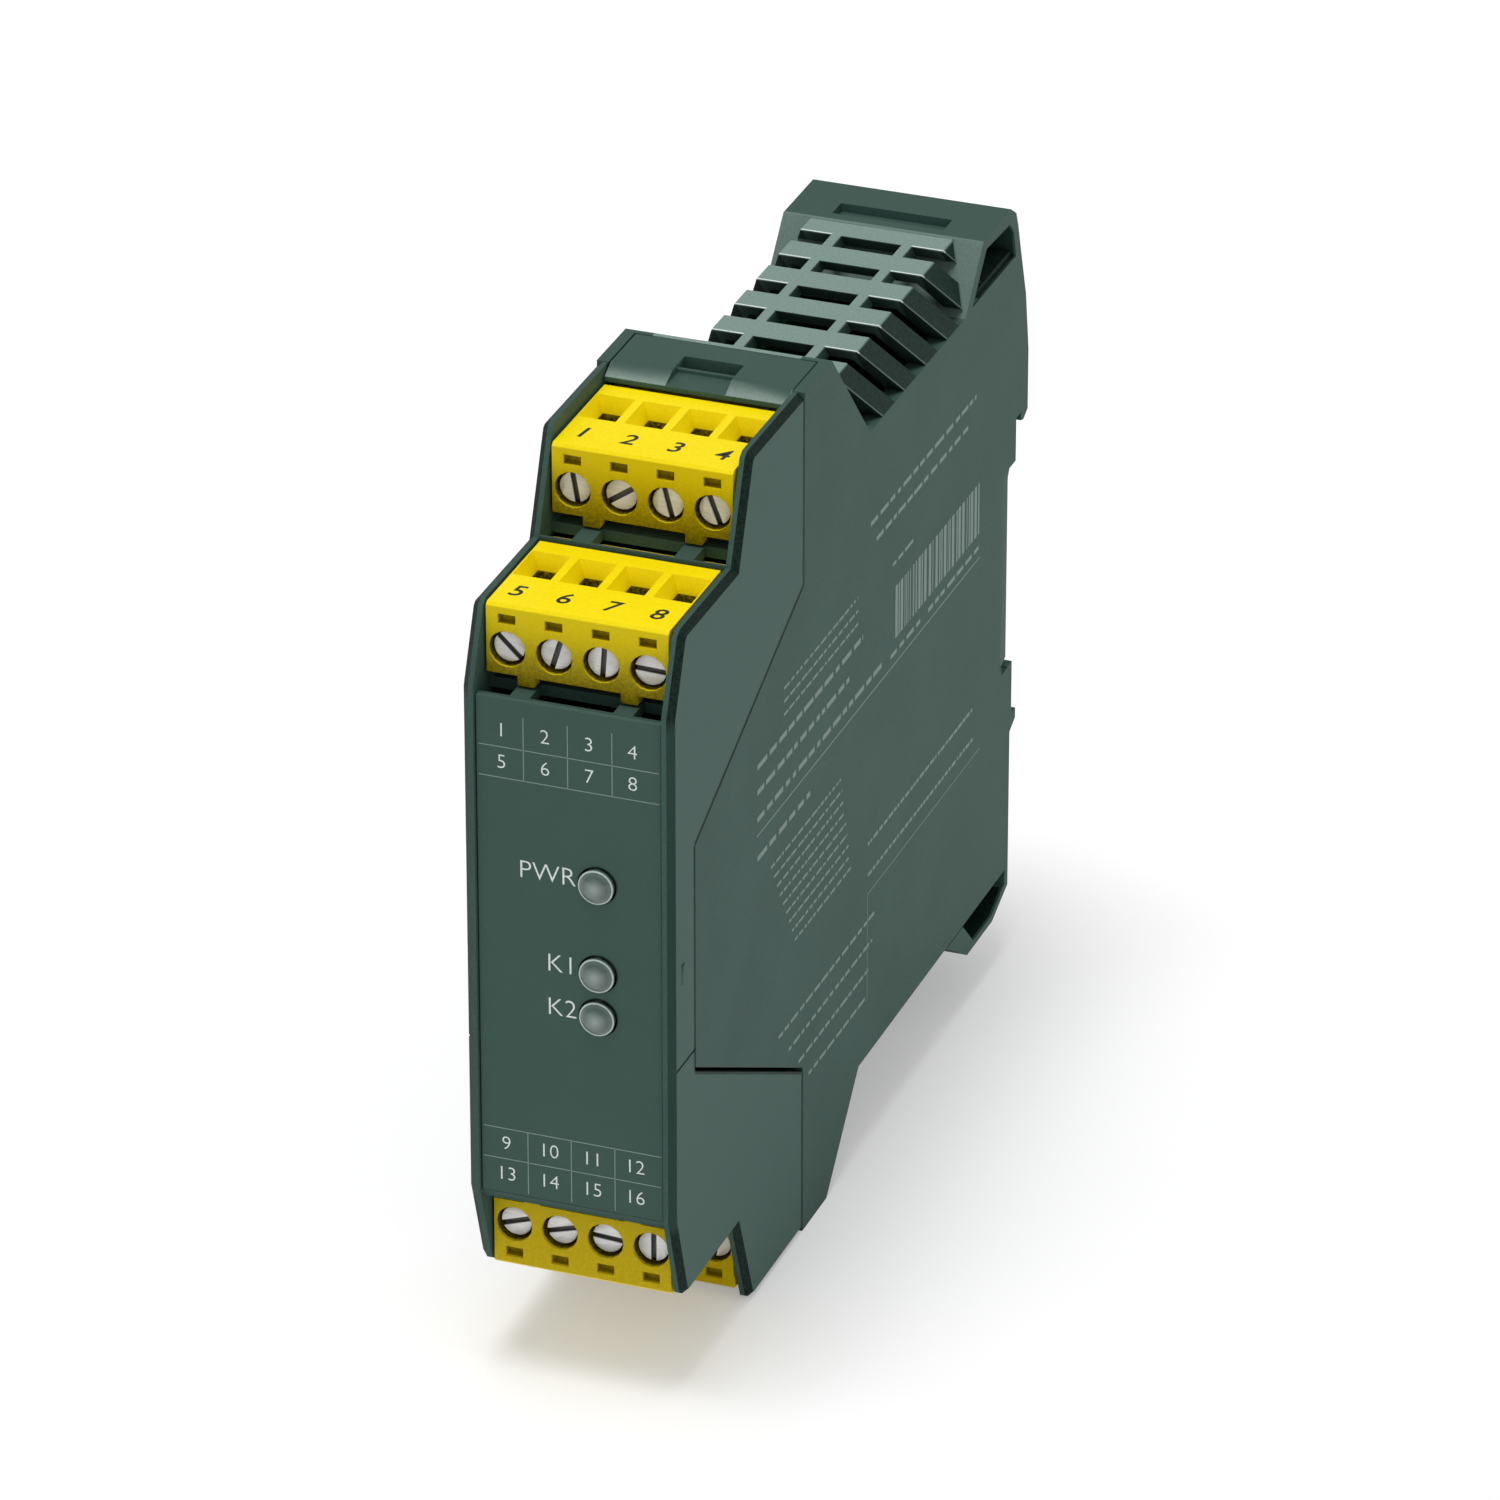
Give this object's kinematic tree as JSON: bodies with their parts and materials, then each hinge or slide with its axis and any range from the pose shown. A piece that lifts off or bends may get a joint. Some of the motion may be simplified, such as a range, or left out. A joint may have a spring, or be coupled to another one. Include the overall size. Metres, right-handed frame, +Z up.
{
  "type": "safety_relay",
  "caption": "Slim rail-mounted safety relay in a dark grey-green housing, with yellow pull-off screw terminal plugs in two steps at top and bottom, a label plate with lenses and a sliding foot.",
  "frame": {"origin": "centre of the 35 mm rail seat, on the seat plane", "axes": "+X across the width, +Y from the front to the rail, +Z up"},
  "size_m": [0.0228, 0.1088, 0.0977],
  "materials": {
    "housing_plastic": "fine grain",
    "label_plastic": "smooth",
    "plug_plastic": "smooth",
    "dark_plastic": "moulded",
    "white_plastic": "moulded",
    "clear_plastic": "clear moulded",
    "board_laminate": "varnished",
    "zinc_steel": "zinc plated",
    "cage_steel": "zinc plated",
    "spring_wire": "drawn",
    "tinned_brass": "tinned"
  },
  "bodies": {
    "housing": {"tub": "housing_plastic", "front_hood": "housing_plastic", "label_plate": "label_plastic", "cover_plate_upper": "housing_plastic", "cover_plate_lower": "housing_plastic", "foot_spring": "spring_wire", "circuit_board": "board_laminate", "light_guide_1": "clear_plastic", "light_guide_2": "clear_plastic", "light_guide_3": "clear_plastic", "light_chips": "white_plastic", "safety_relay_upper": "white_plastic", "safety_relay_lower": "white_plastic", "transformer": "dark_plastic", "header_pins": "tinned_brass", "header_1": "dark_plastic", "header_2": "dark_plastic", "header_3": "dark_plastic", "header_4": "dark_plastic"},
    "foot": {"rail_foot": "housing_plastic"},
    "plug_unit_1": {"plug_1": "plug_plastic", "contacts_1": "tinned_brass"},
    "screw_unit_1": {"screw_1": "zinc_steel"},
    "cage_unit_1": {"clamp_cage_1": "cage_steel"},
    "screw_unit_2": {"screw_2": "zinc_steel"},
    "cage_unit_2": {"clamp_cage_2": "cage_steel"},
    "screw_unit_3": {"screw_3": "zinc_steel"},
    "cage_unit_3": {"clamp_cage_3": "cage_steel"},
    "screw_unit_4": {"screw_4": "zinc_steel"},
    "cage_unit_4": {"clamp_cage_4": "cage_steel"},
    "plug_unit_2": {"plug_2": "plug_plastic", "contacts_2": "tinned_brass"},
    "screw_unit_5": {"screw_5": "zinc_steel"},
    "cage_unit_5": {"clamp_cage_5": "cage_steel"},
    "screw_unit_6": {"screw_6": "zinc_steel"},
    "cage_unit_6": {"clamp_cage_6": "cage_steel"},
    "screw_unit_7": {"screw_7": "zinc_steel"},
    "cage_unit_7": {"clamp_cage_7": "cage_steel"},
    "screw_unit_8": {"screw_8": "zinc_steel"},
    "cage_unit_8": {"clamp_cage_8": "cage_steel"},
    "plug_unit_3": {"plug_3": "plug_plastic", "contacts_3": "tinned_brass"},
    "screw_unit_9": {"screw_9": "zinc_steel"},
    "cage_unit_9": {"clamp_cage_9": "cage_steel"},
    "screw_unit_10": {"screw_10": "zinc_steel"},
    "cage_unit_10": {"clamp_cage_10": "cage_steel"},
    "screw_unit_11": {"screw_11": "zinc_steel"},
    "cage_unit_11": {"clamp_cage_11": "cage_steel"},
    "screw_unit_12": {"screw_12": "zinc_steel"},
    "cage_unit_12": {"clamp_cage_12": "cage_steel"},
    "plug_unit_4": {"plug_4": "plug_plastic", "contacts_4": "tinned_brass"},
    "screw_unit_13": {"screw_13": "zinc_steel"},
    "cage_unit_13": {"clamp_cage_13": "cage_steel"},
    "screw_unit_14": {"screw_14": "zinc_steel"},
    "cage_unit_14": {"clamp_cage_14": "cage_steel"},
    "screw_unit_15": {"screw_15": "zinc_steel"},
    "cage_unit_15": {"clamp_cage_15": "cage_steel"},
    "screw_unit_16": {"screw_16": "zinc_steel"},
    "cage_unit_16": {"clamp_cage_16": "cage_steel"}
  },
  "joints": [
    {"name": "foot_slide", "type": "slide", "parent": "housing", "child": "foot", "axis": [0, 0, -1], "range_m": [0, 0.003], "stiffness_N_per_m": 900, "springref_m": -0.004, "deforming": ["foot_spring"]},
    {"name": "plug_1_pull", "type": "slide", "parent": "housing", "child": "plug_unit_1", "axis": [0, -1, 0], "range_m": [0, 0.025]},
    {"name": "screw_1_turn", "type": "hinge", "parent": "plug_unit_1", "child": "screw_unit_1", "pos_m": [-0.0075, -0.0825, 0.04355], "axis": [0, 1, 0], "range_deg": [0, 1440]},
    {"name": "cage_1_rise", "type": "slide", "parent": "plug_unit_1", "child": "cage_unit_1", "axis": [0, -1, 0], "range_m": [0, 0.0018]},
    {"name": "screw_2_turn", "type": "hinge", "parent": "plug_unit_1", "child": "screw_unit_2", "pos_m": [-0.0025, -0.0825, 0.04355], "axis": [0, 1, 0], "range_deg": [0, 1440]},
    {"name": "cage_2_rise", "type": "slide", "parent": "plug_unit_1", "child": "cage_unit_2", "axis": [0, -1, 0], "range_m": [0, 0.0018]},
    {"name": "screw_3_turn", "type": "hinge", "parent": "plug_unit_1", "child": "screw_unit_3", "pos_m": [0.0025, -0.0825, 0.04355], "axis": [0, 1, 0], "range_deg": [0, 1440]},
    {"name": "cage_3_rise", "type": "slide", "parent": "plug_unit_1", "child": "cage_unit_3", "axis": [0, -1, 0], "range_m": [0, 0.0018]},
    {"name": "screw_4_turn", "type": "hinge", "parent": "plug_unit_1", "child": "screw_unit_4", "pos_m": [0.0075, -0.0825, 0.04355], "axis": [0, 1, 0], "range_deg": [0, 1440]},
    {"name": "cage_4_rise", "type": "slide", "parent": "plug_unit_1", "child": "cage_unit_4", "axis": [0, -1, 0], "range_m": [0, 0.0018]},
    {"name": "plug_2_pull", "type": "slide", "parent": "housing", "child": "plug_unit_2", "axis": [0, -1, 0], "range_m": [0, 0.025]},
    {"name": "screw_5_turn", "type": "hinge", "parent": "plug_unit_2", "child": "screw_unit_5", "pos_m": [-0.0075, -0.1006, 0.0342], "axis": [0, 1, 0], "range_deg": [0, 1440]},
    {"name": "cage_5_rise", "type": "slide", "parent": "plug_unit_2", "child": "cage_unit_5", "axis": [0, -1, 0], "range_m": [0, 0.0018]},
    {"name": "screw_6_turn", "type": "hinge", "parent": "plug_unit_2", "child": "screw_unit_6", "pos_m": [-0.0025, -0.1006, 0.0342], "axis": [0, 1, 0], "range_deg": [0, 1440]},
    {"name": "cage_6_rise", "type": "slide", "parent": "plug_unit_2", "child": "cage_unit_6", "axis": [0, -1, 0], "range_m": [0, 0.0018]},
    {"name": "screw_7_turn", "type": "hinge", "parent": "plug_unit_2", "child": "screw_unit_7", "pos_m": [0.0025, -0.1006, 0.0342], "axis": [0, 1, 0], "range_deg": [0, 1440]},
    {"name": "cage_7_rise", "type": "slide", "parent": "plug_unit_2", "child": "cage_unit_7", "axis": [0, -1, 0], "range_m": [0, 0.0018]},
    {"name": "screw_8_turn", "type": "hinge", "parent": "plug_unit_2", "child": "screw_unit_8", "pos_m": [0.0075, -0.1006, 0.0342], "axis": [0, 1, 0], "range_deg": [0, 1440]},
    {"name": "cage_8_rise", "type": "slide", "parent": "plug_unit_2", "child": "cage_unit_8", "axis": [0, -1, 0], "range_m": [0, 0.0018]},
    {"name": "plug_3_pull", "type": "slide", "parent": "housing", "child": "plug_unit_3", "axis": [0, -1, 0], "range_m": [0, 0.025]},
    {"name": "screw_9_turn", "type": "hinge", "parent": "plug_unit_3", "child": "screw_unit_9", "pos_m": [-0.0075, -0.0825, -0.04105], "axis": [0, 1, 0], "range_deg": [0, 1440]},
    {"name": "cage_9_rise", "type": "slide", "parent": "plug_unit_3", "child": "cage_unit_9", "axis": [0, -1, 0], "range_m": [0, 0.0018]},
    {"name": "screw_10_turn", "type": "hinge", "parent": "plug_unit_3", "child": "screw_unit_10", "pos_m": [-0.0025, -0.0825, -0.04105], "axis": [0, 1, 0], "range_deg": [0, 1440]},
    {"name": "cage_10_rise", "type": "slide", "parent": "plug_unit_3", "child": "cage_unit_10", "axis": [0, -1, 0], "range_m": [0, 0.0018]},
    {"name": "screw_11_turn", "type": "hinge", "parent": "plug_unit_3", "child": "screw_unit_11", "pos_m": [0.0025, -0.0825, -0.04105], "axis": [0, 1, 0], "range_deg": [0, 1440]},
    {"name": "cage_11_rise", "type": "slide", "parent": "plug_unit_3", "child": "cage_unit_11", "axis": [0, -1, 0], "range_m": [0, 0.0018]},
    {"name": "screw_12_turn", "type": "hinge", "parent": "plug_unit_3", "child": "screw_unit_12", "pos_m": [0.0075, -0.0825, -0.04105], "axis": [0, 1, 0], "range_deg": [0, 1440]},
    {"name": "cage_12_rise", "type": "slide", "parent": "plug_unit_3", "child": "cage_unit_12", "axis": [0, -1, 0], "range_m": [0, 0.0018]},
    {"name": "plug_4_pull", "type": "slide", "parent": "housing", "child": "plug_unit_4", "axis": [0, -1, 0], "range_m": [0, 0.025]},
    {"name": "screw_13_turn", "type": "hinge", "parent": "plug_unit_4", "child": "screw_unit_13", "pos_m": [-0.0075, -0.1006, -0.0317], "axis": [0, 1, 0], "range_deg": [0, 1440]},
    {"name": "cage_13_rise", "type": "slide", "parent": "plug_unit_4", "child": "cage_unit_13", "axis": [0, -1, 0], "range_m": [0, 0.0018]},
    {"name": "screw_14_turn", "type": "hinge", "parent": "plug_unit_4", "child": "screw_unit_14", "pos_m": [-0.0025, -0.1006, -0.0317], "axis": [0, 1, 0], "range_deg": [0, 1440]},
    {"name": "cage_14_rise", "type": "slide", "parent": "plug_unit_4", "child": "cage_unit_14", "axis": [0, -1, 0], "range_m": [0, 0.0018]},
    {"name": "screw_15_turn", "type": "hinge", "parent": "plug_unit_4", "child": "screw_unit_15", "pos_m": [0.0025, -0.1006, -0.0317], "axis": [0, 1, 0], "range_deg": [0, 1440]},
    {"name": "cage_15_rise", "type": "slide", "parent": "plug_unit_4", "child": "cage_unit_15", "axis": [0, -1, 0], "range_m": [0, 0.0018]},
    {"name": "screw_16_turn", "type": "hinge", "parent": "plug_unit_4", "child": "screw_unit_16", "pos_m": [0.0075, -0.1006, -0.0317], "axis": [0, 1, 0], "range_deg": [0, 1440]},
    {"name": "cage_16_rise", "type": "slide", "parent": "plug_unit_4", "child": "cage_unit_16", "axis": [0, -1, 0], "range_m": [0, 0.0018]}
  ],
  "couplings": [
    {"joint": "screw_1_turn", "follows": "cage_1_rise", "rad_per_m": 13956},
    {"joint": "screw_2_turn", "follows": "cage_2_rise", "rad_per_m": 13956},
    {"joint": "screw_3_turn", "follows": "cage_3_rise", "rad_per_m": 13956},
    {"joint": "screw_4_turn", "follows": "cage_4_rise", "rad_per_m": 13956},
    {"joint": "screw_5_turn", "follows": "cage_5_rise", "rad_per_m": 13956},
    {"joint": "screw_6_turn", "follows": "cage_6_rise", "rad_per_m": 13956},
    {"joint": "screw_7_turn", "follows": "cage_7_rise", "rad_per_m": 13956},
    {"joint": "screw_8_turn", "follows": "cage_8_rise", "rad_per_m": 13956},
    {"joint": "screw_9_turn", "follows": "cage_9_rise", "rad_per_m": 13956},
    {"joint": "screw_10_turn", "follows": "cage_10_rise", "rad_per_m": 13956},
    {"joint": "screw_11_turn", "follows": "cage_11_rise", "rad_per_m": 13956},
    {"joint": "screw_12_turn", "follows": "cage_12_rise", "rad_per_m": 13956},
    {"joint": "screw_13_turn", "follows": "cage_13_rise", "rad_per_m": 13956},
    {"joint": "screw_14_turn", "follows": "cage_14_rise", "rad_per_m": 13956},
    {"joint": "screw_15_turn", "follows": "cage_15_rise", "rad_per_m": 13956},
    {"joint": "screw_16_turn", "follows": "cage_16_rise", "rad_per_m": 13956}
  ]
}
